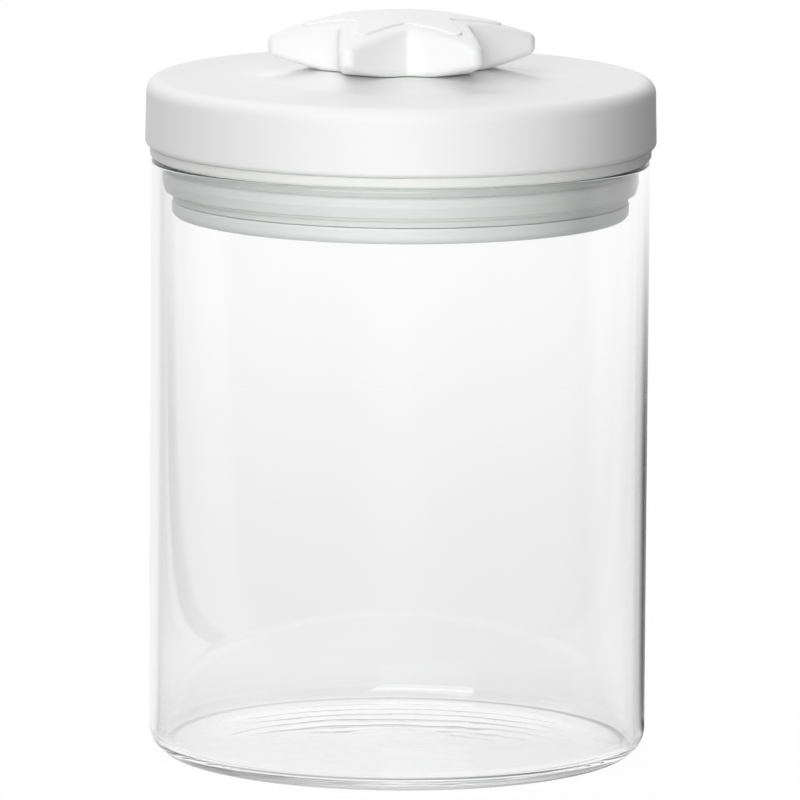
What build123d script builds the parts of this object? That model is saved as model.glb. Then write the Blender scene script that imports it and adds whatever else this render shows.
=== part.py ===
from build123d import *
from math import asin, atan2, cos, degrees, radians, sin, sqrt
import os

# Lengths are in millimetres and angles in degrees, +Z is up, and the origin is the middle of the jar's foot

# Glass jar
jar_radius = 51.0
jar_wall = 2.1
jar_height = 123.4
jar_floor = 2.8
base_corner = 5.5
floor_corner = 2.0
foot_ring_width = 4.0
base_hollow = 0.8
hollow_slope = 30.0
hollow_blend = 8.0
rim_round_share = 0.48

# Gaps between pieces
seat_gap = 0.1
fit_gap = 0.03
running_gap = 0.07
sliding_gap = 0.15
end_gap = 0.5

# Silicone seal
seal_overhang = 0.3
seal_flange_thickness = 2.2
seal_flange_rounding = 0.6
seal_skirt_depth = 8.5
seal_wall_gap = 0.15
seal_skirt_thickness = 4.75
seal_neck_height = 1.6
seal_neck_relief = 0.6
seal_band_height = 2.6
seal_taper = 0.6
seal_taper_height = 2.2
seal_steps = 2
seal_step_width = 0.8
seal_rounding = 0.25
seal_groove_depth = 2.2
seal_groove_height = 3.4
seal_lip_reach = 2.0
seal_lip_thickness = 1.4

# Lid core
spigot_wall = 2.5
spigot_depth = 8.9
core_thickness = 2.5
core_tube_wall = 3.4
core_tube_length = 3.8
core_rounding = 0.5

# Lid shell
lid_overhang = 1.35
lid_height = 13.9
lid_wall = 2.6
lid_top_thickness = 2.5
lid_draft = 0.3
lid_top_corner = 2.8
lid_bottom_corner = 1.2
collar_radius = 17.4
collar_height = 2.0
collar_slope = 11.0
collar_rounding = 0.8
collar_blend = 16.0
hub_wall = 4.2
hub_length = 8.0
rib_count = 8
rib_thickness = 1.6
rib_height = 4.0

# Screws between the core and the shell
core_screw_count = 4
core_screw_inset = 5.5
core_screw_radius = 1.5
core_screw_length = 9.5
core_screw_head_radius = 2.9
core_screw_head_height = 1.8
core_screw_boss_wall = 2.6

# Bush and washer in the hub
bush_wall = 2.9
bush_flange_radius = 12.0
bush_flange_thickness = 1.6
washer_radius = 11.0
washer_thickness = 0.5

# Spindle
journal_radius = 6.0
drive_flats = 9.0
drive_sides = 6
drive_length = 3.2
clip_thickness = 0.9
clip_radius = 8.0
clip_groove_depth = 1.4
clip_mouth_share = 0.8
ring_wire = 1.15
ring_stretch = 0.08
ring_drop = 1.6
thread_radius = 5.9
thread_root = 4.7
thread_tooth = 3.0
thread_starts = 4
thread_lead = 10.0
thread_gap = 0.2
spindle_end_chamfer = 0.5

# Knob
knob_turn = 90.0
knob_star_radius = 30.5
knob_valley_radius = 15.5
knob_tip_rounding = 2.2
knob_valley_rounding = 1.2
knob_points = 6
knob_face_turn = 5.0
knob_lift = 0.3
knob_thickness = 12.75
knob_tip_height = 3.8
knob_tip_lift = 4.7
knob_edge_round_share = 0.47
knob_boss_radius = 11.5
knob_web = 1.7
core_pocket_radius = 2.6
core_pocket_circle = 10.8

# Cap over the knob's screw
cap_star_radius = 22.8
cap_valley_radius = 10.9
cap_tip_rounding = 1.5
cap_valley_rounding = 0.8
cap_proud = 0.35
cap_tip_proud = 0.5
cap_depth = 4.6
cap_edge_rounding = 0.35
cap_peg_length = 3.0

# Screw from the knob into the spindle
knob_screw_radius = 2.0
knob_screw_length = 12.0
knob_screw_head_radius = 3.6
knob_screw_head_height = 2.2
knob_washer_radius = 4.3
knob_washer_thickness = 0.8
screw_pocket_radius = 4.8

# Lug under the knob and its slot in the lid
lug_radius = 1.0
lug_circle = 13.6
lug_slot_depth = 1.3
lug_rest_angle = 45.0

# Pressure plate
plate_wall_gap = 2.1
plate_thickness = 3.3
plate_top_rounding = 0.5
plate_bottom_rounding = 1.6
plate_hub_radius = 14.0
plate_hub_height = 6.1

# Threaded insert with its screws, and the cap below it
insert_wall = 2.4
insert_flange_radius = 13.2
insert_flange_thickness = 1.5
insert_screw_count = 3
insert_screw_circle = 11.2
insert_screw_radius = 0.9
insert_screw_length = 4.5
insert_screw_head_radius = 1.6
insert_screw_head_height = 1.0
plate_cap_thickness = 1.4
plate_cap_proud = 0.7
plate_cap_rounding = 0.6

# Guide pins
pin_count = 3
pin_circle = 24.0
pin_radius = 1.5
pin_depth = 5.5
pin_boss_wall = 2.0
pin_boss_height = 4.2
socket_wall = 1.8
socket_length = 5.3
pin_first_angle = 30.0

# Driver slots and crosses in the screw heads
slot_width_share = 0.22
slot_depth_share = 0.5

# One overrun for all cuts
overrun = 1.0

full_turn = 360.0
BASE = (Align.CENTER, Align.CENTER, Align.MIN)

# Heights that follow from the sizes above, from the jar's rim upwards and downwards
seal_flange_bottom = jar_height + seat_gap
lid_bottom = seal_flange_bottom + seal_flange_thickness
lid_top = lid_bottom + lid_height
lid_ceiling = lid_top - lid_top_thickness
collar_top = lid_top + collar_height
core_top = lid_bottom + core_thickness
seal_bottom = seal_flange_bottom - seal_skirt_depth
plate_top = seal_bottom - seat_gap
plate_bottom = plate_top - plate_thickness
hub_bottom = lid_top - hub_length
bush_top = lid_top - washer_thickness + seat_gap
washer_top = bush_top + washer_thickness
knob_boss_bottom = washer_top + seat_gap
drive_top = knob_boss_bottom + drive_length
clip_top = hub_bottom - seat_gap
clip_bottom = clip_top - clip_thickness
core_tube_bottom = lid_bottom - core_tube_length
plate_hub_top = plate_top + plate_hub_height
insert_pocket_top = plate_bottom + plate_cap_thickness - plate_cap_proud + insert_screw_head_height \
    + insert_flange_thickness + seat_gap
insert_flange_bottom = insert_pocket_top - insert_flange_thickness
plate_cap_bottom = plate_bottom - plate_cap_proud
plate_cap_top = plate_cap_bottom + plate_cap_thickness
spindle_bottom = plate_cap_top + end_gap
plate_travel = thread_lead * knob_turn / full_turn

# Radii that follow
jar_bore = jar_radius - jar_wall
seal_flange_radius = jar_radius + seal_overhang
spigot_radius = jar_bore - seal_wall_gap - seal_skirt_thickness
plate_radius = jar_bore - plate_wall_gap
lid_radius = jar_radius + lid_overhang
core_screw_circle = spigot_radius - spigot_wall - core_screw_inset
core_screw_first_angle = full_turn / core_screw_count / 2
shell_bore = lid_radius - lid_wall
bush_bore = journal_radius + running_gap
bush_radius = bush_bore + bush_wall
hub_bore = bush_radius + fit_gap
hub_radius = hub_bore + hub_wall
core_bore = journal_radius + sliding_gap
insert_radius = thread_radius + thread_gap + insert_wall
clip_groove_radius = journal_radius - clip_groove_depth

# The knob's lens and what lies inside it
knob_low = lid_top + knob_lift
knob_apex = knob_low + knob_thickness
cap_seat = knob_apex - cap_depth
screw_shelf = drive_top + seat_gap + knob_web


def disc(radius, bottom, top):
    """Upright cylinder on the axis between two heights."""
    return Pos(0, 0, bottom) * Cylinder(radius, top - bottom, align=BASE)


def tube(outer, inner, bottom, top):
    """Upright tube on the axis between two heights."""
    return disc(outer, bottom, top) - disc(inner, bottom, top)


def turned(*corners):
    """Solid turned about Z, from the (radius, height, rounding) corners of its outline."""
    points = [(radius, 0, height) for radius, height, rounding in corners]
    roundings = [rounding for radius, height, rounding in corners]
    outline = FilletPolyline(*points, radius=roundings, close=True)
    return revolve(make_face(outline.edges()), Axis.Z)


def around(piece, count, circle, first_angle=0):
    """Copies of a piece evenly spaced on a circle about the axis."""
    angles = [first_angle + full_turn * step / count for step in range(count)]
    return [Rot(0, 0, angle) * Pos(circle, 0, 0) * piece for angle in angles]


def star(tip_radius, valley_radius, tip_rounding, valley_rounding, bottom, top):
    """Upright star-shaped prism with rounded tips and valleys, one valley near the front."""
    points, roundings = [], []
    for step in range(2 * knob_points):
        is_tip = step % 2 == 1
        angle = -full_turn / 4 + knob_face_turn + full_turn * step / (2 * knob_points)
        radius = tip_radius if is_tip else valley_radius
        points.append(Vector(radius, 0, 0).rotate(Axis.Z, angle))
        roundings.append(tip_rounding if is_tip else valley_rounding)
    outline = FilletPolyline(*points, radius=roundings, close=True)
    return Pos(0, 0, bottom) * extrude(make_face(outline.edges()), top - bottom)


def ball_over(height, radius):
    """Ball whose highest point is on the axis at a height, its seam turned to its far side."""
    return Pos(0, 0, height - radius) * Rot(0, full_turn / 4, 0) * Sphere(radius)


def ball_under(height, radius):
    """Ball whose lowest point is on the axis at a height, its seam turned to its far side."""
    return Pos(0, 0, height + radius) * Rot(0, -full_turn / 4, 0) * Sphere(radius)


def screw(shank_radius, length, head_radius, head_height, up=True):
    """Pan-head screw with a cross recess; its head's seat is at height zero, its shank points up."""
    shank = chamfer(disc(shank_radius, 0, length).edges().group_by(Axis.Z)[-1], shank_radius / 2)
    head = disc(head_radius, -head_height, 0)
    head = fillet(head.edges().group_by(Axis.Z)[0], head_height / 2)
    blade = Box(head_radius, slot_width_share * head_radius, slot_depth_share * head_height,
                align=(Align.CENTER, Align.CENTER, Align.MIN))
    cross = Pos(0, 0, -head_height) * (blade + Rot(0, 0, full_turn / 4) * blade)
    body = shank + head - cross
    return body if up else Rot(full_turn / 2, 0, 0) * body


def thread_section(gap):
    """Cross-section of the multi-start thread, grown all round by a gap."""
    tooth = Rectangle(thread_radius + gap, thread_tooth + 2 * gap, align=(Align.MIN, Align.CENTER))
    turns = [full_turn * start / thread_starts for start in range(thread_starts)]
    teeth = Sketch() + [Rot(0, 0, turn) * tooth for turn in turns]
    return Circle(thread_root + gap) + (teeth & Circle(thread_radius + gap))


def twisted(gap, bottom, top):
    """Thread between two heights, in phase with every other piece of the same thread."""
    phase = full_turn * (bottom - spindle_bottom) / thread_lead
    section = Pos(0, 0, bottom) * Rot(0, 0, phase) * thread_section(gap)
    twist = full_turn * (top - bottom) / thread_lead
    return Solid.extrude_linear_with_rotation(section.face(), (0, 0, bottom), (0, 0, top - bottom), twist)


def make_glass_jar():
    rim_rounding = rim_round_share * jar_wall
    foot_inner = jar_radius - base_corner - foot_ring_width
    return turned(
        (0, base_hollow, 0),
        (foot_inner - hollow_slope, base_hollow, hollow_blend),
        (foot_inner, 0, hollow_blend),
        (jar_radius, 0, base_corner),
        (jar_radius, jar_height, rim_rounding),
        (jar_bore, jar_height, rim_rounding),
        (jar_bore, jar_floor, floor_corner),
        (0, jar_floor, 0))


def make_seal_ring():
    """C-shaped silicone ring: flange on the rim, skirt in the mouth, lip under the spigot."""
    bore = spigot_radius + fit_gap
    band = jar_bore - seal_wall_gap
    neck_bottom = seal_flange_bottom - seal_neck_height
    band_bottom = neck_bottom - seal_band_height
    taper_bottom = band_bottom - seal_taper_height
    step_height = (taper_bottom - seal_bottom) / (seal_steps + 1)
    skirt = [
        (seal_flange_radius, lid_bottom, seal_rounding),
        (seal_flange_radius, seal_flange_bottom, seal_flange_rounding),
        (band - seal_neck_relief, seal_flange_bottom, seal_rounding),
        (band - seal_neck_relief, neck_bottom, seal_rounding),
        (band, neck_bottom, seal_rounding),
        (band, band_bottom, seal_rounding)]
    edge = band - seal_taper
    height = taper_bottom
    for step in range(seal_steps):
        skirt += [(edge, height, seal_rounding), (edge - seal_step_width, height, seal_rounding)]
        edge -= seal_step_width
        height -= step_height
    skirt += [(edge, seal_bottom, seal_rounding)]
    lip_top = seal_bottom + seal_lip_thickness
    groove_bottom = lip_top + seal_lip_thickness
    groove_top = groove_bottom + seal_groove_height
    inside = [
        (bore - seal_lip_reach, seal_bottom, seal_rounding),
        (bore - seal_lip_reach, lip_top, seal_rounding),
        (bore, lip_top, 0),
        (bore, groove_bottom, 0),
        (bore + seal_groove_depth, groove_bottom, seal_rounding),
        (bore + seal_groove_depth, groove_top, seal_rounding),
        (bore, groove_top, 0),
        (bore, lid_bottom, 0)]
    return turned(*skirt, *inside)


def make_lid_core():
    """Disc that closes the lid, with the spigot, the spindle's tube and the pins' sockets below it."""
    spigot_bottom = lid_bottom - spigot_depth
    body = turned(
        (core_bore, core_top, 0),
        (shell_bore - fit_gap, core_top, core_rounding),
        (shell_bore - fit_gap, lid_bottom, 0),
        (spigot_radius, lid_bottom, 0),
        (spigot_radius, spigot_bottom, core_rounding),
        (spigot_radius - spigot_wall, spigot_bottom, core_rounding),
        (spigot_radius - spigot_wall, lid_bottom, core_rounding),
        (core_bore + core_tube_wall, lid_bottom, core_rounding),
        (core_bore + core_tube_wall, core_tube_bottom, core_rounding),
        (core_bore, core_tube_bottom, 0))
    socket_bore = pin_radius + sliding_gap
    socket = disc(socket_bore + socket_wall, lid_bottom - socket_length, lid_bottom + core_rounding)
    bore = disc(socket_bore, lid_bottom - socket_length - overrun, lid_bottom)
    hole = disc(core_screw_radius + fit_gap, lid_bottom - overrun, core_top + overrun)
    body += around(socket, pin_count, pin_circle, pin_first_angle)
    body -= around(bore, pin_count, pin_circle, pin_first_angle)
    body -= around(hole, core_screw_count, core_screw_circle, core_screw_first_angle)
    return body


def make_core_screws():
    one = Pos(0, 0, lid_bottom) * screw(
        core_screw_radius, core_screw_length, core_screw_head_radius, core_screw_head_height)
    return Compound(children=around(one, core_screw_count, core_screw_circle, core_screw_first_angle))


def make_lid_shell():
    """Round lid with a hub, screw bosses and ribs under its top, and the lug's slot in its collar."""
    counterbore = bush_top - bush_flange_thickness
    body = turned(
        (hub_bore, counterbore, 0),
        (bush_flange_radius + sliding_gap, counterbore, 0),
        (bush_flange_radius + sliding_gap, collar_top, collar_rounding / 2),
        (collar_radius, collar_top, collar_rounding),
        (collar_radius + collar_slope, lid_top, collar_blend),
        (lid_radius - lid_draft, lid_top, lid_top_corner),
        (lid_radius, lid_bottom, lid_bottom_corner),
        (shell_bore, lid_bottom, 0),
        (shell_bore, lid_ceiling, lid_bottom_corner),
        (hub_radius, lid_ceiling, lid_bottom_corner),
        (hub_radius, hub_bottom, 0),
        (hub_bore, hub_bottom, 0))
    boss = disc(core_screw_radius + core_screw_boss_wall, core_top, lid_ceiling + fit_gap)
    rib_span = shell_bore - hub_radius + lid_bottom_corner
    rib = Pos(hub_radius - fit_gap, 0, lid_ceiling - rib_height) * Box(
        rib_span, rib_thickness, rib_height + fit_gap, align=(Align.MIN, Align.CENTER, Align.MIN))
    hole = disc(core_screw_radius + fit_gap, core_top - overrun, lid_bottom + core_screw_length + end_gap)
    body += around(rib, rib_count, 0)
    body += around(boss, core_screw_count, core_screw_circle, core_screw_first_angle)
    body -= around(hole, core_screw_count, core_screw_circle, core_screw_first_angle)
    slot_half_width = lug_radius + sliding_gap
    slot_margin = degrees(asin(slot_half_width / lug_circle))
    profile = Pos(lug_circle, 0, lid_top - lug_slot_depth) * Rot(full_turn / 4, 0, 0) * Rectangle(
        2 * slot_half_width, lug_slot_depth + collar_height + overrun, align=(Align.CENTER, Align.MIN))
    slot = revolve(profile, Axis.Z, revolution_arc=knob_turn + 2 * slot_margin)
    return body - Rot(0, 0, lug_rest_angle - slot_margin) * slot


def make_hub_bush():
    flange_bottom = bush_top - bush_flange_thickness
    return turned(
        (bush_bore, bush_top, 0),
        (bush_flange_radius, bush_top, 0),
        (bush_flange_radius, flange_bottom, 0),
        (bush_radius, flange_bottom, 0),
        (bush_radius, hub_bottom, 0),
        (bush_bore, hub_bottom, 0))


def make_thrust_washer():
    return tube(washer_radius, journal_radius + sliding_gap, bush_top, washer_top)


def make_spindle():
    """Shaft with a hexagon drive, a clip groove, a ring groove and the multi-start thread."""
    thread_top = core_tube_bottom
    ring_low, ring_high = ring_groove_heights()
    shaft = disc(journal_radius, thread_top, knob_boss_bottom)
    drive = Pos(0, 0, knob_boss_bottom) * extrude(
        RegularPolygon(drive_flats / 2, drive_sides, major_radius=False), drive_length)
    shaft -= tube(journal_radius + overrun, clip_groove_radius, clip_bottom, clip_top)
    shaft -= tube(journal_radius + overrun, ring_groove_radius(), ring_low, ring_high)
    thread = twisted(0, spindle_bottom, thread_top)
    hole = disc(knob_screw_radius + fit_gap, screw_shelf - knob_screw_length - end_gap, drive_top + overrun)
    return shaft + drive + thread - hole


def ring_groove_heights():
    """Lower and upper faces of the sealing ring's groove, inside the core's tube."""
    low = core_tube_bottom + ring_drop
    return low, low + ring_wire + 2 * seat_gap


def ring_groove_radius():
    return core_bore - ring_stretch - ring_wire - fit_gap


def make_spindle_oring():
    low, high = ring_groove_heights()
    minor = ring_wire / 2
    return Pos(0, 0, (low + high) / 2) * Torus(core_bore - ring_stretch - minor, minor)


def make_spindle_clip():
    """Open retaining ring that snaps into the spindle's groove under the bush."""
    ring = tube(clip_radius, clip_groove_radius + fit_gap, clip_bottom, clip_top)
    mouth = Pos(0, 0, clip_bottom - overrun) * Box(
        clip_radius + overrun, 2 * clip_mouth_share * clip_groove_radius, clip_thickness + 2 * overrun,
        align=(Align.MIN, Align.CENTER, Align.MIN))
    return ring - mouth


def point_reach(tip_radius, valley_radius, tip_rounding):
    """Distance from the axis to the end of a star's rounded points."""
    half_step = radians(full_turn / knob_points / 2)
    valley_ahead = valley_radius * cos(half_step)
    valley_aside = valley_radius * sin(half_step)
    half_point = atan2(valley_aside, tip_radius - valley_ahead)
    return tip_radius - tip_rounding * (1 / sin(half_point) - 1)


def curve_of(reach, rise):
    """Radius of a ball that has curved away by a rise at a reach from its axis."""
    return (reach ** 2 + rise ** 2) / (2 * rise)


def knob_under_curve():
    return curve_of(point_reach(knob_star_radius, knob_valley_radius, knob_tip_rounding), knob_tip_lift)


def knob_top_curve():
    drop = knob_thickness - knob_tip_lift - knob_tip_height
    return curve_of(point_reach(knob_star_radius, knob_valley_radius, knob_tip_rounding), drop)


def cap_top_curve():
    """Radius of the cap's top, which stands a little prouder at its points than in its middle."""
    reach = point_reach(cap_star_radius, cap_valley_radius, cap_tip_rounding)
    drop = knob_top_curve() - sqrt(knob_top_curve() ** 2 - reach ** 2)
    return curve_of(reach, drop + cap_proud - cap_tip_proud)


def make_knob_base():
    """Six-armed star cut from a lens, hollowed under its cap, with the spindle's socket below."""
    prism = star(knob_star_radius, knob_valley_radius, knob_tip_rounding, knob_valley_rounding,
                 lid_top, knob_apex + overrun)
    body = prism & ball_over(knob_apex, knob_top_curve()) & ball_under(knob_low, knob_under_curve())
    body = fillet(body.edges().filter_by(Axis.Z, reverse=True), knob_edge_round_share * knob_tip_height)
    body -= disc(knob_star_radius, knob_low, collar_top + knob_lift - seat_gap)
    lug_bottom = lid_top - lug_slot_depth + seat_gap
    lug = Pos(lug_circle, 0, 0) * disc(lug_radius, lug_bottom, cap_seat - knob_web)
    lug = Rot(0, 0, lug_rest_angle) * lug
    body += [disc(knob_boss_radius, knob_boss_bottom, cap_seat), lug]
    recess = star(cap_star_radius + fit_gap, cap_valley_radius + fit_gap, cap_tip_rounding,
                  cap_valley_rounding, cap_seat, knob_apex + overrun)
    pocket = disc(core_pocket_radius, cap_seat - cap_peg_length - end_gap, cap_seat + overrun)
    socket = Pos(0, 0, knob_boss_bottom - overrun) * extrude(
        RegularPolygon(drive_flats / 2 + fit_gap, drive_sides, major_radius=False),
        drive_length + seat_gap + overrun)
    body -= [recess, socket]
    body -= disc(screw_pocket_radius, screw_shelf, cap_seat + overrun)
    body -= disc(knob_screw_radius + sliding_gap, drive_top - overrun, screw_shelf + overrun)
    body -= around(pocket, knob_points, core_pocket_circle, knob_face_turn)
    return body


def make_knob_cap():
    """Star-shaped cover that stands a little proud of the knob, with pegs in the knob's pockets."""
    top = knob_apex + cap_proud
    prism = star(cap_star_radius, cap_valley_radius, cap_tip_rounding, cap_valley_rounding,
                 cap_seat, top + overrun)
    body = prism & ball_over(top, cap_top_curve())
    rim = body.edges().filter_by(Axis.Z, reverse=True).filter_by_position(Axis.Z, cap_seat + overrun, top)
    body = fillet(rim, cap_edge_rounding)
    peg = disc(core_pocket_radius - fit_gap, cap_seat - cap_peg_length, cap_seat + overrun)
    return body + around(peg, knob_points, core_pocket_circle, knob_face_turn)


def make_knob_screw():
    return Pos(0, 0, screw_shelf + knob_washer_thickness) * screw(
        knob_screw_radius, knob_screw_length, knob_screw_head_radius, knob_screw_head_height, up=False)


def make_knob_washer():
    return tube(knob_washer_radius, knob_screw_radius + sliding_gap, screw_shelf,
                screw_shelf + knob_washer_thickness)


def make_pressure_plate():
    """Disc that presses the seal, with a hub for the insert and bosses for the guide pins."""
    body = turned(
        (insert_radius + fit_gap, plate_hub_top, 0),
        (plate_hub_radius, plate_hub_top, core_rounding),
        (plate_hub_radius, plate_top, core_rounding),
        (plate_radius, plate_top, plate_top_rounding),
        (plate_radius, plate_bottom, plate_bottom_rounding),
        (insert_flange_radius + sliding_gap, plate_bottom, 0),
        (insert_flange_radius + sliding_gap, insert_pocket_top, 0),
        (insert_radius + fit_gap, insert_pocket_top, 0))
    boss = disc(pin_radius + pin_boss_wall, plate_top - core_rounding, plate_top + pin_boss_height)
    bore = disc(pin_radius + fit_gap, pin_bottom(), plate_top + pin_boss_height + overrun)
    hole = disc(insert_screw_radius + fit_gap, insert_pocket_top - overrun,
                insert_flange_bottom + insert_screw_length + end_gap)
    body += around(boss, pin_count, pin_circle, pin_first_angle)
    body -= around(bore, pin_count, pin_circle, pin_first_angle)
    body -= around(hole, insert_screw_count, insert_screw_circle)
    return body


def pin_bottom():
    return plate_top + pin_boss_height - pin_depth


def make_guide_pins():
    pin = disc(pin_radius, pin_bottom(), lid_bottom - end_gap)
    pin = chamfer(pin.edges().group_by(Axis.Z)[-1], spindle_end_chamfer)
    return Compound(children=around(pin, pin_count, pin_circle, pin_first_angle))


def make_thread_insert():
    """Flanged nut with the multi-start thread, seated from below in the pressure plate."""
    body = turned(
        (0, insert_flange_bottom, 0),
        (insert_flange_radius, insert_flange_bottom, 0),
        (insert_flange_radius, insert_pocket_top, 0),
        (insert_radius, insert_pocket_top, 0),
        (insert_radius, plate_hub_top, 0),
        (0, plate_hub_top, 0))
    hole = disc(insert_screw_radius + sliding_gap, insert_flange_bottom - overrun,
                insert_pocket_top + overrun)
    body -= around(hole, insert_screw_count, insert_screw_circle)
    return body - twisted(thread_gap, insert_flange_bottom - overrun, plate_hub_top + overrun)


def make_insert_screws():
    one = Pos(0, 0, insert_flange_bottom) * screw(
        insert_screw_radius, insert_screw_length, insert_screw_head_radius, insert_screw_head_height)
    return Compound(children=around(one, insert_screw_count, insert_screw_circle))


def make_plate_cap():
    return turned(
        (0, plate_cap_bottom, 0),
        (insert_flange_radius, plate_cap_bottom, plate_cap_rounding),
        (insert_flange_radius, plate_cap_top, 0),
        (0, plate_cap_top, 0))


pieces = {
    "glass_jar": make_glass_jar,
    "seal_ring": make_seal_ring,
    "lid_core": make_lid_core,
    "core_screws": make_core_screws,
    "lid_shell": make_lid_shell,
    "hub_bush": make_hub_bush,
    "thrust_washer": make_thrust_washer,
    "spindle": make_spindle,
    "spindle_oring": make_spindle_oring,
    "spindle_clip": make_spindle_clip,
    "knob_base": make_knob_base,
    "knob_cap": make_knob_cap,
    "knob_screw": make_knob_screw,
    "knob_washer": make_knob_washer,
    "pressure_plate": make_pressure_plate,
    "thread_insert": make_thread_insert,
    "insert_screws": make_insert_screws,
    "plate_cap": make_plate_cap,
    "guide_pins": make_guide_pins,
}

os.makedirs("parts", exist_ok=True)
for node, make in pieces.items():
    export_step(make(), f"parts/{node}.step")
print("plate travel", plate_travel, "lid top", lid_top, "knob apex", knob_apex + cap_proud)
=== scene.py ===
import bpy
import math
from mathutils import Matrix, Vector


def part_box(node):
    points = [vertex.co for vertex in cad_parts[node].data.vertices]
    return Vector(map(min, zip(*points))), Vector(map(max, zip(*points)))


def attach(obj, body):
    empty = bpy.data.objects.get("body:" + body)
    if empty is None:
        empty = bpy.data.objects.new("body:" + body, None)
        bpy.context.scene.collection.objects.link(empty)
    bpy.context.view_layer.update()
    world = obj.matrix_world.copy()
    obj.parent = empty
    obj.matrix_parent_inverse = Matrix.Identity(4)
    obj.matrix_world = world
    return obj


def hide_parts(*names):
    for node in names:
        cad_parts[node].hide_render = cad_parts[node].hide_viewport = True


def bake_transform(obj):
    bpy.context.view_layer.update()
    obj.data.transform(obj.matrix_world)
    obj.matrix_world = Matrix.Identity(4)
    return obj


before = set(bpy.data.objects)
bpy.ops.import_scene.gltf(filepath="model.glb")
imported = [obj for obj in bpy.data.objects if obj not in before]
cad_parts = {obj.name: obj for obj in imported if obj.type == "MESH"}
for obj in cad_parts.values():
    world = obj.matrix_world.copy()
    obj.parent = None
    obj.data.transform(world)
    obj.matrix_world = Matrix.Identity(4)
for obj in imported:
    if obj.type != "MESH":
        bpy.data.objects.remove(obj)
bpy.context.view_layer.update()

MM = 0.001
TURN_SEGMENTS = 240
ARC_STEP = math.radians(6)
LEAST_ARC_STEPS = 2
AXIS_REACH = 1e-6
WHITE = (1.0, 1.0, 1.0, 1.0)

# The jar's sizes that its box doesn't give
jar_wall = 2.1 * MM
jar_floor = 2.8 * MM
base_corner = 5.5 * MM
floor_corner = 2.0 * MM
foot_ring_width = 4.0 * MM
base_hollow = 0.8 * MM
hollow_slope = 30.0 * MM
hollow_blend = 8.0 * MM
rim_rounding = 0.48 * jar_wall

# The seal's sizes that its box doesn't give
seal_flange_thickness = 2.2 * MM
seal_flange_rounding = 0.6 * MM
seal_wall_gap = 0.15 * MM
seal_skirt_thickness = 4.72 * MM
seal_neck_height = 2.2 * MM
seal_neck_relief = 1.2 * MM
seal_band_height = 2.0 * MM
seal_band_rounding = 0.8 * MM
seal_taper = 0.6 * MM
seal_taper_height = 2.2 * MM
seal_steps = 2
seal_step_width = 0.8 * MM
seal_rounding = 0.25 * MM
seal_groove_depth = 2.2 * MM
seal_groove_height = 3.4 * MM
seal_lip_reach = 2.0 * MM
seal_lip_thickness = 1.4 * MM

# The screws' sizes, by the names of their node tree's inputs
core_screw_sizes = {
    "Count": 4,
    "Circle": 36.0 * MM,
    "First Angle": math.pi / 4,
    "Shank Radius": 1.5 * MM,
    "Length": 9.5 * MM,
    "Head Radius": 2.9 * MM,
    "Head Height": 1.8 * MM,
    "Thread Pitch": 1.1 * MM,
    "Recess Width": 0.75 * MM,
    "Recess Depth": 1.0 * MM}
insert_screw_sizes = {
    "Count": 3,
    "Circle": 11.2 * MM,
    "First Angle": 0.0,
    "Shank Radius": 0.9 * MM,
    "Length": 4.5 * MM,
    "Head Radius": 1.6 * MM,
    "Head Height": 1.0 * MM,
    "Thread Pitch": 0.7 * MM,
    "Recess Width": 0.45 * MM,
    "Recess Depth": 0.55 * MM}
screw_inputs = {
    "Geometry": "Geometry", "Count": "Int", "Circle": "Float", "First Angle": "Float", "Seat": "Float",
    "Shank Radius": "Float", "Length": "Float", "Head Radius": "Float", "Head Height": "Float",
    "Thread Pitch": "Float", "Recess Width": "Float", "Recess Depth": "Float", "Finish": "Material"}
screw_root_share = 0.8
screw_point_share = 0.45
screw_dome_share = 0.6
screw_segments = 48
screw_seed = 7
sharp_angle = 0.5
thread_ridge_share = 0.3
thread_steps = 24
thread_sides = 4

# Moulded plastic: pattern in waves to the metre, the deeper tone's share and how far the gloss varies
plastic_cloud_scale = 35.0
plastic_cloud_detail = 3.0
plastic_grain_detail = 2.0
plastic_deep_share = 0.955
plastic_grain_gloss = 0.06
plastic_cloud_gloss = 0.05
plastic_index = 1.5

# Glass: its refraction, waves in the wall, ripples in the base and what it lets through
glass_index = 1.47
glass_tint = (0.998, 1.0, 0.999, 1.0)
glass_passed_tint = (0.975, 0.98, 0.98, 1.0)
glass_detail = 1.0
wave_scale = 28.0
wave_share = 0.1
ripple_scale = 75.0
ripple_depth = 0.12 * MM
ripple_fade = (2 * MM, 7 * MM)

# Silicone: cloudy tones, a fine skin and a little light let in
silicone_deep = (0.785, 0.795, 0.785, 1.0)
silicone_pale = (0.835, 0.845, 0.83, 1.0)
silicone_cloud_scale = 60.0
silicone_cloud_detail = 3.0
silicone_skin_scale = 1500.0
silicone_skin_detail = 2.0
silicone_skin_depth = 0.004 * MM
silicone_roughness = 0.4
silicone_skin_gloss = 0.06
silicone_index = 1.41
silicone_glow = 0.15
silicone_glow_depth = 2.0 * MM
silicone_glow_tones = (1.0, 1.0, 1.0)

# Turned metal: rings from the tool and blotches in its gloss
metal_ring_scale = 9000.0
metal_ring_depth = 0.002 * MM
metal_ring_strength = 0.6
metal_blotch_scale = 220.0
metal_blotch_detail = 3.0
metal_blotch_gloss = 0.12
metal_deep_share = 0.88

# Rubber: two near-black tones and a matt grain
rubber_deep = (0.012, 0.012, 0.013, 1.0)
rubber_pale = (0.03, 0.03, 0.032, 1.0)
rubber_grain_scale = 400.0
rubber_grain_detail = 3.0
rubber_grain_depth = 0.01 * MM
rubber_roughness = 0.55
rubber_grain_gloss = 0.2

# Soft light, with its directions in degrees from the front towards the right
side_light_way = -150
side_light_level = 1.25
side_light_edges = (0.51, 0.95)
front_light_way = 0
front_light_edges = (0.89, 0.99)
front_light_level = 4.5
front_light_on_floor = 1.9
light_bounces = 64

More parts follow.
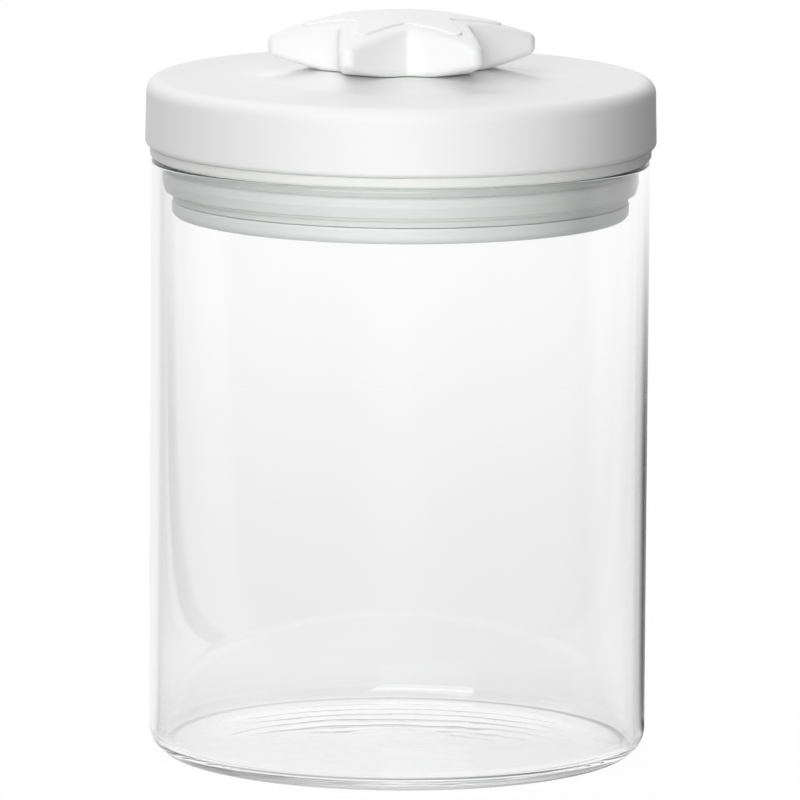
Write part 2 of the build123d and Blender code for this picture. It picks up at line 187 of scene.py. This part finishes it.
# The canister's driving places, all read from the frame
jar_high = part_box("glass_jar")[1]
seal_low, seal_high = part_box("seal_ring")
jar_radius = jar_high.x
jar_height = jar_high.z
seal_flange_bottom = seal_high.z - seal_flange_thickness
seal_band = jar_radius - jar_wall - seal_wall_gap
seal_bore = seal_band - seal_skirt_thickness


class Value:
    """One output of a node; the operators on it add the nodes that work them out."""

    def __init__(self, shader, socket):
        self.shader = shader
        self.socket = socket

    def math(self, operation, *terms, clamp=False):
        return self.shader.node("ShaderNodeMath", {"operation": operation, "use_clamp": clamp}, *terms)

    def __add__(self, other):
        return self.math("ADD", self, other)

    def __radd__(self, other):
        return self.math("ADD", other, self)

    def __sub__(self, other):
        return self.math("SUBTRACT", self, other)

    def __rsub__(self, other):
        return self.math("SUBTRACT", other, self)

    def __mul__(self, other):
        return self.math("MULTIPLY", self, other)

    def __rmul__(self, other):
        return self.math("MULTIPLY", other, self)

    def __truediv__(self, other):
        return self.math("DIVIDE", self, other)

    def __rtruediv__(self, other):
        return self.math("DIVIDE", other, self)

    def __pow__(self, other):
        return self.math("POWER", self, other)

    def __rpow__(self, other):
        return self.math("POWER", other, self)

    def __neg__(self):
        return self.math("MULTIPLY", self, -1)

    def clamped(self):
        return self.math("ADD", self, 0, clamp=True)

    def least(self, other):
        return self.math("MINIMUM", self, other)

    def most(self, other):
        return self.math("MAXIMUM", self, other)

    def beyond(self, edge):
        return self.math("GREATER_THAN", self, edge)

    def sine(self):
        return self.math("SINE", self)

    def smooth(self, low, high):
        """0 below low, 1 above high, and a smooth step between."""
        return self.shader.node("ShaderNodeMapRange", {"interpolation_type": "SMOOTHSTEP"},
                                self, **{"From Min": low, "From Max": high})

    def parts(self):
        """The three numbers of a vector."""
        split = self.shader.node("ShaderNodeSeparateXYZ", {}, self)
        return [Value(self.shader, socket) for socket in split.socket.node.outputs]


class Shader:
    """A node tree under construction, for a finish, for the surroundings or for a ring of screws."""

    def __init__(self, tree):
        self.tree = tree
        self.tree.nodes.clear()

    def node(self, kind, settings=None, *terms, out=0, **sockets):
        """Adds a node, sets it, then fills its sockets in order and by name, and gives one output."""
        made = self.tree.nodes.new(kind)
        for key, value in (settings or {}).items():
            setattr(made, key, value)
        for key, value in list(enumerate(terms)) + list(sockets.items()):
            socket = made.inputs[key]
            if isinstance(value, list):
                for one in value:
                    self.tree.links.new(one.socket, socket)
            elif isinstance(value, Value):
                self.tree.links.new(value.socket, socket)
            else:
                socket.default_value = value
        return Value(self, made.outputs[out]) if len(made.outputs) else made

    def place(self):
        """Object coordinates."""
        return self.node("ShaderNodeTexCoord", out="Object")

    def noise(self, where, scale, detail):
        return self.node("ShaderNodeTexNoise", {"normalize": True}, Vector=where, Scale=scale,
                         Detail=detail, out="Fac")

    def mix_colours(self, factor, first, second):
        """Colour between two colours."""
        return self.node("ShaderNodeMix", {"data_type": "RGBA"}, Factor=factor, A=first, B=second,
                         out="Result")

    def bump(self, height, depth, strength=1.0):
        return self.node("ShaderNodeBump", {}, Height=height, Distance=depth, Strength=strength)

    def ray(self, kind):
        return self.node("ShaderNodeLightPath", out=kind)

    def glow(self, level):
        """White light of a level."""
        return self.node("ShaderNodeEmission", {}, Color=WHITE, Strength=level)

    def mixed(self, factor, first, second):
        """Surface between two surfaces."""
        return self.node("ShaderNodeMixShader", {}, factor, first, second)

    def show(self, surface):
        self.node("ShaderNodeOutputMaterial", {}, Surface=surface)


def colour(tone, share=1.0):
    """Opaque colour of a tone, or of a share of it."""
    return tuple(share * part for part in tone) + (1.0,)


def finish(name):
    """An empty finish and its shader."""
    material = bpy.data.materials.new(name)
    material.use_nodes = True
    return material, Shader(material.node_tree)


def moulded_plastic(name, tone, roughness, grain, grain_depth):
    """Opaque moulded plastic: faint cloudiness in its tone and a fine grain on its skin."""
    material, shader = finish(name)
    where = shader.place()
    cloud = shader.noise(where, plastic_cloud_scale, plastic_cloud_detail)
    skin = shader.noise(where, 1.0 / grain, plastic_grain_detail)
    base = shader.mix_colours(cloud, colour(tone, plastic_deep_share), colour(tone))
    gloss = roughness + plastic_grain_gloss * (skin - 0.5) + plastic_cloud_gloss * (cloud - 0.5)
    shader.show(shader.node("ShaderNodeBsdfPrincipled", {}, **{
        "Base Color": base, "Roughness": gloss, "Normal": shader.bump(skin, grain_depth),
        "IOR": plastic_index}))
    return material


def clear_glass(name):
    """Borosilicate glass, faintly wavy and rippled at its base, that lets lamps through to what it holds."""
    material, shader = finish(name)
    where = shader.place()
    height = where.parts()[2]
    waves = shader.noise(where, wave_scale, glass_detail)
    ripples = shader.noise(where, ripple_scale, glass_detail) * (1 - height.smooth(*ripple_fade))
    normal = shader.bump(wave_share * waves + ripples, ripple_depth)
    glass = shader.node("ShaderNodeBsdfPrincipled", {}, **{
        "Base Color": glass_tint, "Roughness": 0.0, "IOR": glass_index, "Transmission Weight": 1.0,
        "Normal": normal})
    # Lamp rays go straight through, less so where they graze the wall, with one loss at both its faces
    inside = shader.node("ShaderNodeNewGeometry", out="Backfacing")
    index = glass_index + inside * (1 / glass_index - glass_index)
    lost = shader.node("ShaderNodeFresnel", {}, IOR=index)
    passed = shader.node("ShaderNodeBsdfTransparent", {}, Color=glass_passed_tint)
    mirrored = shader.node("ShaderNodeBsdfGlossy", {}, Color=WHITE, Roughness=0.0)
    lamp_ray = shader.ray("Is Shadow Ray").most(shader.ray("Is Diffuse Ray"))
    shader.show(shader.mixed(lamp_ray, glass, shader.mixed(lost, passed, mirrored)))
    return material


def soft_silicone(name):
    """Milky silicone rubber that lets a little light into its surface."""
    material, shader = finish(name)
    where = shader.place()
    cloud = shader.noise(where, silicone_cloud_scale, silicone_cloud_detail)
    skin = shader.noise(where, silicone_skin_scale, silicone_skin_detail)
    shader.show(shader.node("ShaderNodeBsdfPrincipled", {}, **{
        "Base Color": shader.mix_colours(cloud, silicone_deep, silicone_pale),
        "Roughness": silicone_roughness + silicone_skin_gloss * skin,
        "Normal": shader.bump(skin, silicone_skin_depth), "IOR": silicone_index,
        "Subsurface Weight": silicone_glow, "Subsurface Radius": silicone_glow_tones,
        "Subsurface Scale": silicone_glow_depth}))
    return material


def turned_metal(name, tone, roughness):
    """Machined metal with fine rings from turning."""
    material, shader = finish(name)
    where = shader.place()
    x, y, z = where.parts()
    radius = (x * x + y * y) ** 0.5
    rings = ((radius + z) * metal_ring_scale).sine()
    blotch = shader.noise(where, metal_blotch_scale, metal_blotch_detail)
    shader.show(shader.node("ShaderNodeBsdfPrincipled", {}, **{
        "Base Color": shader.mix_colours(blotch, colour(tone, metal_deep_share), colour(tone)),
        "Metallic": 1.0, "Roughness": roughness + metal_blotch_gloss * (blotch - 0.5),
        "Normal": shader.bump(rings, metal_ring_depth, metal_ring_strength)}))
    return material


def dark_rubber(name):
    """Black rubber with a matt grain."""
    material, shader = finish(name)
    grain = shader.noise(shader.place(), rubber_grain_scale, rubber_grain_detail)
    shader.show(shader.node("ShaderNodeBsdfPrincipled", {}, **{
        "Base Color": shader.mix_colours(grain, rubber_deep, rubber_pale),
        "Roughness": rubber_roughness + rubber_grain_gloss * (grain - 0.5),
        "Normal": shader.bump(grain, rubber_grain_depth)}))
    return material


def outline(*corners):
    """Points of a closed outline from (radius, height, rounding) corners, each with its two side normals."""
    count = len(corners)
    points = []
    for index, (radius, height, rounding) in enumerate(corners):
        here = Vector((radius, height))
        before = Vector(corners[index - 1][:2]) - here
        after = Vector(corners[(index + 1) % count][:2]) - here
        before.normalize()
        after.normalize()
        normal_in = Vector((-before.y, before.x))
        normal_out = Vector((after.y, -after.x))
        if rounding <= 0:
            points.append((here, normal_in, normal_out))
            continue
        half = before.angle(after) / 2
        set_back = rounding / math.tan(half)
        centre = here + (before + after).normalized() * rounding / math.sin(half)
        start = here + before * set_back
        end = here + after * set_back
        turn = math.pi - 2 * half
        steps = max(LEAST_ARC_STEPS, math.ceil(turn / ARC_STEP))
        outward = 1 if (start - centre).dot(normal_in) > 0 else -1
        for step in range(steps + 1):
            share = step / steps
            arm = (start - centre) * math.sin((1 - share) * turn) + (end - centre) * math.sin(share * turn)
            arm = arm.normalized()
            points.append((centre + arm * rounding, outward * arm, outward * arm))
    return points


def turned(radius, height, angle):
    """Point or direction of an outline, turned about Z."""
    return (radius * math.cos(angle), radius * math.sin(angle), height)


def turned_piece(name, corners, segments=TURN_SEGMENTS, own_normals=True):
    """Mesh turned about Z from the corners of its closed outline, anticlockwise in radius and height."""
    points = outline(*corners)
    angles = [2 * math.pi * step / segments for step in range(segments + 1)]
    vertices, rings = [], []
    for place, normal_in, normal_out in points:
        if place.x < AXIS_REACH:
            rings.append([len(vertices)])
            vertices.append((0, 0, place.y))
            continue
        rings.append([len(vertices) + step for step in range(segments)])
        vertices += [turned(place.x, place.y, angle) for angle in angles[:-1]]
    faces, normals = [], []
    for index, (place, normal_in, low_normal) in enumerate(points):
        following = (index + 1) % len(points)
        high_normal = points[following][1]
        low, high = rings[index], rings[following]
        if len(low) == 1 and len(high) == 1:
            continue
        for step in range(segments):
            after = (step + 1) % segments
            corner = [
                (low[step % len(low)], low_normal, angles[step]),
                (low[after % len(low)], low_normal, angles[step + 1]),
                (high[after % len(high)], high_normal, angles[step + 1]),
                (high[step % len(high)], high_normal, angles[step])]
            if len(low) == 1:
                corner = [corner[0], corner[2], corner[3]]
            elif len(high) == 1:
                corner = corner[:3]
            faces.append([vertex for vertex, normal, angle in corner])
            normals += [turned(normal.x, normal.y, angle) for vertex, normal, angle in corner]
    mesh = bpy.data.meshes.new(name)
    mesh.from_pydata(vertices, [], faces)
    mesh.polygons.foreach_set("use_smooth", [True] * len(faces))
    if own_normals:
        mesh.normals_split_custom_set(normals)
    piece = bpy.data.objects.new(name, mesh)
    bpy.context.scene.collection.objects.link(piece)
    return piece


def dress(node, material):
    """Gives a carried-over node its finish."""
    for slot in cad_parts[node].material_slots:
        slot.material = material


glass = clear_glass("borosilicate")
shell_white = moulded_plastic("shell_white", tone=(0.88, 0.885, 0.88), roughness=0.5,
                              grain=0.5 * MM, grain_depth=0.004 * MM)
knob_white = moulded_plastic("knob_white", tone=(0.92, 0.925, 0.92), roughness=0.36,
                             grain=0.8 * MM, grain_depth=0.002 * MM)
plate_white = moulded_plastic("plate_white", tone=(0.86, 0.865, 0.86), roughness=0.4,
                              grain=0.6 * MM, grain_depth=0.003 * MM)
bearing_ivory = moulded_plastic("bearing_ivory", tone=(0.72, 0.70, 0.64), roughness=0.35,
                                grain=0.6 * MM, grain_depth=0.003 * MM)
silicone = soft_silicone("milky_silicone")
screw_steel = turned_metal("screw_steel", tone=(0.62, 0.62, 0.61), roughness=0.3)
insert_brass = turned_metal("insert_brass", tone=(0.78, 0.58, 0.27), roughness=0.28)
rubber = dark_rubber("ring_rubber")

finishes = {
    "glass_jar": glass,
    "seal_ring": silicone,
    "lid_shell": shell_white,
    "lid_core": shell_white,
    "pressure_plate": plate_white,
    "plate_cap": plate_white,
    "knob_base": knob_white,
    "knob_cap": knob_white,
    "hub_bush": bearing_ivory,
    "thrust_washer": bearing_ivory,
    "spindle": bearing_ivory,
    "core_screws": screw_steel,
    "knob_screw": screw_steel,
    "knob_washer": screw_steel,
    "insert_screws": screw_steel,
    "guide_pins": screw_steel,
    "spindle_clip": screw_steel,
    "thread_insert": insert_brass,
    "spindle_oring": rubber,
}
for node, material in finishes.items():
    dress(node, material)


def toward(x, y, azimuth):
    """How far a level direction points to an azimuth: 1 straight at it, 0 square to it."""
    turn = math.radians(azimuth)
    return x * math.sin(turn) - y * math.cos(turn)


def side_light(x, y):
    """Soft light from behind on the left, and next to none from the right."""
    return side_light_level * toward(x, y, side_light_way).smooth(*side_light_edges)


def front_light(x, y):
    """Narrow band of light from in front, 1 at its middle."""
    return toward(x, y, front_light_way).smooth(*front_light_edges)


def beside(across, along):
    """How far a place on the floor lies to the side, seen from a wall of the jar: 0 straight behind it."""
    return across / (across * across + along * along) ** 0.5


def painted_foot_shadow(x, reach):
    """Painted contact shadow: how dark the floor's ring is where the foot meets it, deeper on the right."""
    left_depth, right_gain = 0.55, 0.4
    ring = reach.smooth(45.6 * MM, 46.6 * MM) * (1 - reach.smooth(47.6 * MM, 48.6 * MM))
    return ring * (left_depth + right_gain * x.smooth(-10 * MM, 40 * MM))


def floor_seen_straight(reach, foot_shadow, in_front):
    """Floor's tone seen straight through the jar: pale grey painted shade near it, white far off, a dark
    painted shadow at the foot.
    """
    shaded_near_tone, middle_gain, far_gain = 0.84, 0.06, 0.15
    dark_behind, front_gain = 0.65, 0.35
    tone = (shaded_near_tone + middle_gain * reach.smooth(50 * MM, 120 * MM)
            + far_gain * reach.smooth(100 * MM, 800 * MM))
    return tone * (1 - foot_shadow * (dark_behind + front_gain * in_front))


def floor_seen_aside(x, y, reach, foot_shadow, in_front):
    """Floor's tone seen round the bend of the glass wall or in its gloss: the dim sides of the room."""
    front_tone, back_gain, right_drop = 0.62, 0.38, 0.42
    right_dark, right_recovery = 0.95, 0.60
    left_near_dark, left_far_dark = 0.10, 0.30
    behind = (y / reach).smooth(0.0, 0.3)
    right_way = beside(x - jar_radius, y)
    left_way = beside(-x - jar_radius, y)
    nearness = 1 - reach.smooth(350 * MM, 1000 * MM)
    right_loss = (right_way.smooth(0.03, 0.08)
                  * (right_dark - right_recovery * right_way.smooth(0.31, 0.44)) * nearness)
    left_loss = left_near_dark * left_way.smooth(0.02, 0.10) + left_far_dark * left_way.smooth(0.42, 0.60)
    sides = 1 - (right_loss + left_loss).clamped() * behind
    to_the_right = toward(x / reach, y / reach, 90).smooth(-0.2, 0.6) * (1 - behind)
    tone = (front_tone + back_gain * behind - right_drop * to_the_right) * sides
    under_front = (1 - reach.smooth(56 * MM, 64 * MM)) * (-y).smooth(-20 * MM, 20 * MM)
    # The painted contact shadow at the foot darkens the floor in front here too
    return (tone + under_front * (1 - tone)) * (1 - foot_shadow * in_front)


def add_floor():
    """Pale floor: white to the camera, and toned as the glass and the gloss see it, with painted shade by
    the jar.
    """
    half = 6.0
    floor_tone = 0.95
    near_glow, far_gain = 0.96, 0.04
    mesh = bpy.data.meshes.new("floor")
    corners = [(-half, -half, 0), (half, -half, 0), (half, half, 0), (-half, half, 0)]
    mesh.from_pydata(corners, [], [(0, 1, 2, 3)])
    floor = bpy.data.objects.new("floor", mesh)
    bpy.context.scene.collection.objects.link(floor)
    material, shader = finish("floor_white")
    x, y = shader.place().parts()[:2]
    reach = (x * x + y * y) ** 0.5
    in_front = (-y).smooth(-5 * MM, 15 * MM)
    # Painted contact shadow at the foot, for the rays that see the floor through the glass
    foot_shadow = painted_foot_shadow(x, reach)
    straight = floor_seen_straight(reach, foot_shadow, in_front)
    aside = floor_seen_aside(x, y, reach, foot_shadow, in_front)
    seen = shader.ray("Is Camera Ray")
    bent = shader.ray("Is Transmission Ray") * (1 - shader.ray("Glossy Depth").beyond(0.5))
    glossy = shader.ray("Is Glossy Ray")
    level = seen + (1 - seen) * (bent * straight + (1 - bent) * glossy * aside)
    around = side_light(x / reach, y / reach) + front_light_on_floor * front_light(x / reach, y / reach)
    pale = shader.node("ShaderNodeBsdfDiffuse", {}, Color=colour((floor_tone,) * 3))
    shown = shader.mixed(near_glow + far_gain * reach.smooth(120 * MM, 500 * MM), pale, shader.glow(level))
    shader.show(shader.mixed((seen + bent + glossy).clamped(), shader.glow(around), shown))
    mesh.materials.append(material)


def add_surroundings():
    """White all round to the camera; the other rays meet light from the left, in front and overhead."""
    gloss_base, gloss_back_gain = 0.25, 0.5
    world = bpy.data.worlds.new("studio")
    bpy.context.scene.world = world
    world.use_nodes = True
    shader = Shader(world.node_tree)
    x, y, z = shader.node("ShaderNodeTexCoord", out="Generated").parts()
    level_part = (x * x + y * y) ** 0.5
    overhead = z.smooth(0.4, 0.85) * y.smooth(-0.3, 0.2)
    around = side_light(x / level_part, y / level_part) + overhead
    ambient = around + front_light_level * front_light(x, y)
    mirrored = (around + gloss_base + gloss_back_gain * y.smooth(0.5, 0.95)).least(1.0)
    straight = shader.ray("Is Transmission Ray") * (1 - shader.ray("Glossy Depth").beyond(0.5))
    open_ray = (shader.ray("Is Camera Ray") + straight).clamped()
    glossy = shader.ray("Is Glossy Ray")
    level = open_ray + (1 - open_ray) * (glossy * mirrored + (1 - glossy) * ambient)
    background = shader.node("ShaderNodeBackground", {}, Color=WHITE, Strength=level)
    shader.node("ShaderNodeOutputWorld", {}, Surface=background)


def add_lamp(name, azimuth, elevation, distance, width, height, level):
    """Soft box aimed at the middle of the jar; its level is what it gives a white card that faces it."""
    data = bpy.data.lights.new(name, "AREA")
    data.shape = "RECTANGLE"
    data.size = width
    data.size_y = height
    data.energy = level * math.pi ** 2 * distance ** 2
    lamp = bpy.data.objects.new(name, data)
    bpy.context.scene.collection.objects.link(lamp)
    way, rise = math.radians(azimuth), math.radians(elevation)
    away = Vector((math.sin(way) * math.cos(rise), -math.cos(way) * math.cos(rise), math.sin(rise)))
    lamp.location = Vector((0, 0, jar_height / 2)) + distance * away
    lamp.rotation_euler = away.to_track_quat("Z", "Y").to_euler()
    lamp.visible_camera = False


def add_camera():
    """Long lens from the photograph's place."""
    distance = 2.4
    height = 0.44296
    pitch = math.radians(8.766)
    roll = 0.0071
    yaw = -0.000082
    data = bpy.data.cameras.new("camera")
    data.sensor_width = 36.0
    data.lens = 532.4
    data.clip_end = 50.0
    camera = bpy.data.objects.new("camera", data)
    bpy.context.scene.collection.objects.link(camera)
    camera.matrix_world = (Matrix.Translation((0, -distance, height)) @ Matrix.Rotation(yaw, 4, "Z")
                           @ Matrix.Rotation(math.pi / 2 - pitch, 4, "X") @ Matrix.Rotation(roll, 4, "Z"))
    bpy.context.scene.camera = camera


def jar_corners():
    """Foot ring round a shallow hollow, straight wall and fire-polished rim."""
    bore = jar_radius - jar_wall
    foot_inner = jar_radius - base_corner - foot_ring_width
    return [
        (0, base_hollow, 0),
        (foot_inner - hollow_slope, base_hollow, hollow_blend),
        (foot_inner, 0, hollow_blend),
        (jar_radius, 0, base_corner),
        (jar_radius, jar_height, rim_rounding),
        (bore, jar_height, rim_rounding),
        (bore, jar_floor, floor_corner),
        (0, jar_floor, 0)]


def seal_corners():
    """Flange on the rim, stepped skirt in the mouth, groove inside and lip under the spigot."""
    neck_bottom = seal_flange_bottom - seal_neck_height
    band_bottom = neck_bottom - seal_band_height
    taper_bottom = band_bottom - seal_taper_height
    step_height = (taper_bottom - seal_low.z) / (seal_steps + 1)
    corners = [
        (seal_high.x, seal_high.z, seal_rounding),
        (seal_high.x, seal_flange_bottom, seal_flange_rounding),
        (seal_band - seal_neck_relief, seal_flange_bottom, seal_rounding),
        (seal_band - seal_neck_relief, neck_bottom, seal_rounding),
        (seal_band, neck_bottom, seal_band_rounding),
        (seal_band, band_bottom, seal_rounding)]
    edge = seal_band - seal_taper
    height = taper_bottom
    for step in range(seal_steps):
        corners += [(edge, height, seal_rounding), (edge - seal_step_width, height, seal_rounding)]
        edge -= seal_step_width
        height -= step_height
    lip_top = seal_low.z + seal_lip_thickness
    groove_bottom = lip_top + seal_lip_thickness
    groove_top = groove_bottom + seal_groove_height
    return corners + [
        (edge, seal_low.z, seal_rounding),
        (seal_bore - seal_lip_reach, seal_low.z, seal_rounding),
        (seal_bore - seal_lip_reach, lip_top, seal_rounding),
        (seal_bore, lip_top, 0),
        (seal_bore, groove_bottom, 0),
        (seal_bore + seal_groove_depth, groove_bottom, seal_rounding),
        (seal_bore + seal_groove_depth, groove_top, seal_rounding),
        (seal_bore, groove_top, 0),
        (seal_bore, seal_high.z, 0)]


def screw_corners(shank, length, head, head_height):
    """Outline of one pan-head screw, its head's seat at height zero and its shank upwards."""
    root = screw_root_share * shank
    point = screw_point_share * shank
    return [
        (0, -head_height, 0),
        (head, -head_height, screw_dome_share * head_height),
        (head, 0, 0),
        (root, 0, 0),
        (root, length - shank, 0),
        (point, length, 0),
        (0, length, 0)]


def screw_ring_tree():
    """Node tree: cuts the cross in a screw's head, winds its thread and sets copies on a circle."""
    tree = bpy.data.node_groups.new("screw_ring", "GeometryNodeTree")
    maker = Shader(tree)
    tree.interface.new_socket("Geometry", in_out="OUTPUT", socket_type="NodeSocketGeometry")
    for label, kind in screw_inputs.items():
        tree.interface.new_socket(label, in_out="INPUT", socket_type="NodeSocket" + kind)
    entry = tree.nodes.new("NodeGroupInput")
    given = {label: Value(maker, entry.outputs[label]) for label in screw_inputs}

    def point(x, y, z):
        return maker.node("ShaderNodeCombineXYZ", {}, x, y, z)

    # The cross is cut by two blades that stand in the head's face
    span, width, depth = given["Head Radius"], given["Recess Width"], 2 * given["Recess Depth"]
    head_face = point(0, 0, -given["Head Height"])
    blades = [maker.node("GeometryNodeMeshCube", {}, Size=point(*size))
              for size in ((span, width, depth), (width, span, depth))]
    blades = [maker.node("GeometryNodeTransform", {}, Geometry=blade, Translation=head_face)
              for blade in blades]
    body = maker.node("GeometryNodeMeshBoolean", {"operation": "DIFFERENCE", "solver": "EXACT"},
                      **{"Mesh 1": given["Geometry"], "Mesh 2": blades})
    round_edge = 1 - maker.node("GeometryNodeInputMeshEdgeAngle").beyond(sharp_angle)
    body = maker.node("GeometryNodeSetShadeSmooth", {"domain": "FACE"}, Geometry=body)
    body = maker.node("GeometryNodeSetShadeSmooth", {"domain": "EDGE"}, Geometry=body,
                      **{"Shade Smooth": round_edge})
    # The thread is a rod wound round the shank
    ridge = given["Thread Pitch"] * thread_ridge_share
    crest = given["Shank Radius"] - ridge
    wound = given["Length"] - given["Shank Radius"]
    helix = maker.node("GeometryNodeCurveSpiral", {}, Resolution=thread_steps, Height=wound,
                       Rotations=wound / given["Thread Pitch"],
                       **{"Start Radius": crest, "End Radius": crest})
    section = maker.node("GeometryNodeCurvePrimitiveCircle", {"mode": "RADIUS"},
                         Resolution=thread_sides, Radius=ridge)
    thread = maker.node("GeometryNodeCurveToMesh", {}, Curve=helix,
                        **{"Profile Curve": section, "Fill Caps": True})
    one = maker.node("GeometryNodeJoinGeometry", {}, Geometry=[body, thread])
    ring = maker.node("GeometryNodeMeshCircle", {}, Vertices=given["Count"], Radius=given["Circle"])
    turn = maker.node("FunctionNodeRandomValue", {"data_type": "FLOAT"}, out=1, Seed=screw_seed,
                      Max=math.pi)
    placed = maker.node("GeometryNodeInstanceOnPoints", {}, Points=ring, Instance=one,
                        Rotation=point(0, 0, turn))
    placed = maker.node("GeometryNodeTransform", {}, Geometry=placed,
                        Translation=point(0, 0, given["Seat"]),
                        Rotation=point(0, 0, given["First Angle"]))
    solid = maker.node("GeometryNodeRealizeInstances", {}, Geometry=placed)
    solid = maker.node("GeometryNodeSetMaterial", {}, Geometry=solid, Material=given["Finish"])
    maker.node("NodeGroupOutput", {}, Geometry=solid)
    return tree


def screw_ring(name, tree, sizes, top, finish_of_screws):
    """One mesh of all the screws of a ring, whose points end at the height top."""
    piece = turned_piece(name, screw_corners(sizes["Shank Radius"], sizes["Length"], sizes["Head Radius"],
                                             sizes["Head Height"]), screw_segments, own_normals=False)
    modifier = piece.modifiers.new("ring", "NODES")
    modifier.node_group = tree
    values = dict(sizes, Seat=top - sizes["Length"], Finish=finish_of_screws)
    for socket in tree.interface.items_tree:
        if socket.in_out == "INPUT" and socket.name in values:
            modifier[socket.identifier] = values[socket.name]
    evaluated = piece.evaluated_get(bpy.context.evaluated_depsgraph_get())
    mesh = bpy.data.meshes.new_from_object(evaluated)
    piece.modifiers.clear()
    piece.data = mesh
    return piece


jar = turned_piece("jar", jar_corners())
jar.data.materials.append(glass)
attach(jar, "jar")
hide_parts("glass_jar")

seal = turned_piece("seal", seal_corners()[::-1])
seal.data.materials.append(silicone)
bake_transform(seal)
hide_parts("seal_ring")

tree = screw_ring_tree()
core_top_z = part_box("core_screws")[1].z
lid_screws = screw_ring("lid_screws", tree, core_screw_sizes, core_top_z, screw_steel)
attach(lid_screws, "lid")
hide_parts("core_screws")

insert_top_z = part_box("insert_screws")[1].z
nut_screws = screw_ring("nut_screws", tree, insert_screw_sizes, insert_top_z, screw_steel)
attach(nut_screws, "plate")
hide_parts("insert_screws")

add_floor()
add_surroundings()
add_lamp("key", azimuth=-16, elevation=36, distance=1.3, width=1.1, height=0.9, level=0.555)
add_camera()
scene = bpy.context.scene
scene.view_settings.view_transform = "Standard"
# Light is followed all the way through the glass
scene.cycles.max_bounces = light_bounces
scene.cycles.glossy_bounces = light_bounces
scene.cycles.transmission_bounces = light_bounces
